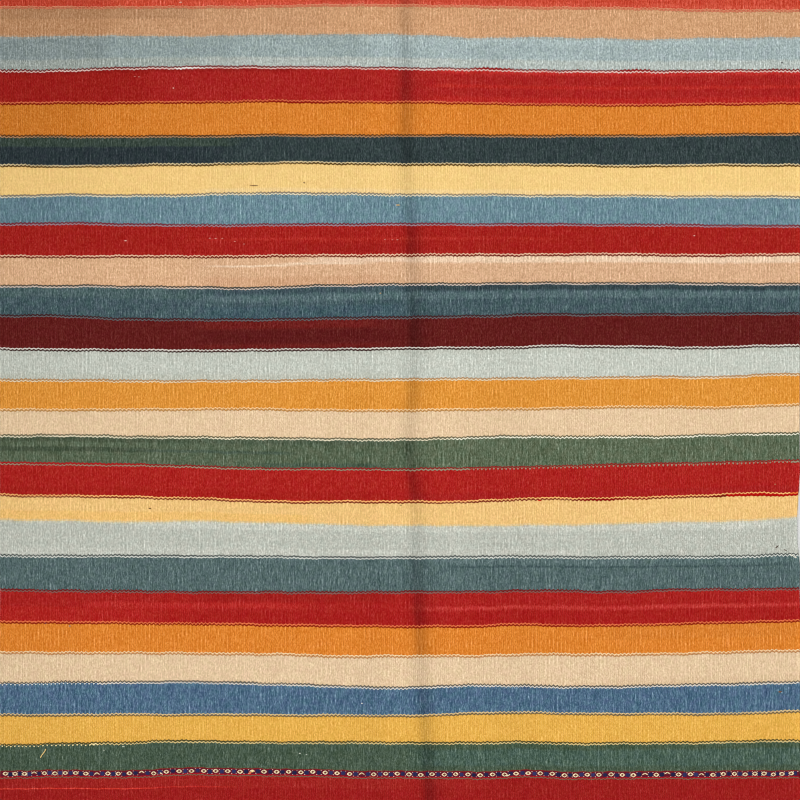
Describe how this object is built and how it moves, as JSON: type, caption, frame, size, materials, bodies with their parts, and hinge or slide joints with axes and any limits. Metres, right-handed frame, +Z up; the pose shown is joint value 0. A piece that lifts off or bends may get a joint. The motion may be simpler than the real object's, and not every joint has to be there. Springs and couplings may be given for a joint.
{
  "type": "striped kilim rug",
  "caption": "Flat-woven wool rug of cross stripes parted by thin wavy lines, with a narrow band of small diamonds, corded selvedges and a soft lengthwise crease.",
  "frame": {"origin": "centre of the rug's underside, on the floor it lies on", "axes": "+X across the rug along the stripes, +Y along the warp towards the upper end, +Z up, square to the cloth"},
  "size_m": [0.961, 1, 0.0059],
  "materials": {
    "wool": "matte"
  },
  "bodies": {
    "root": {"rug": "wool"}
  },
  "joints": []
}
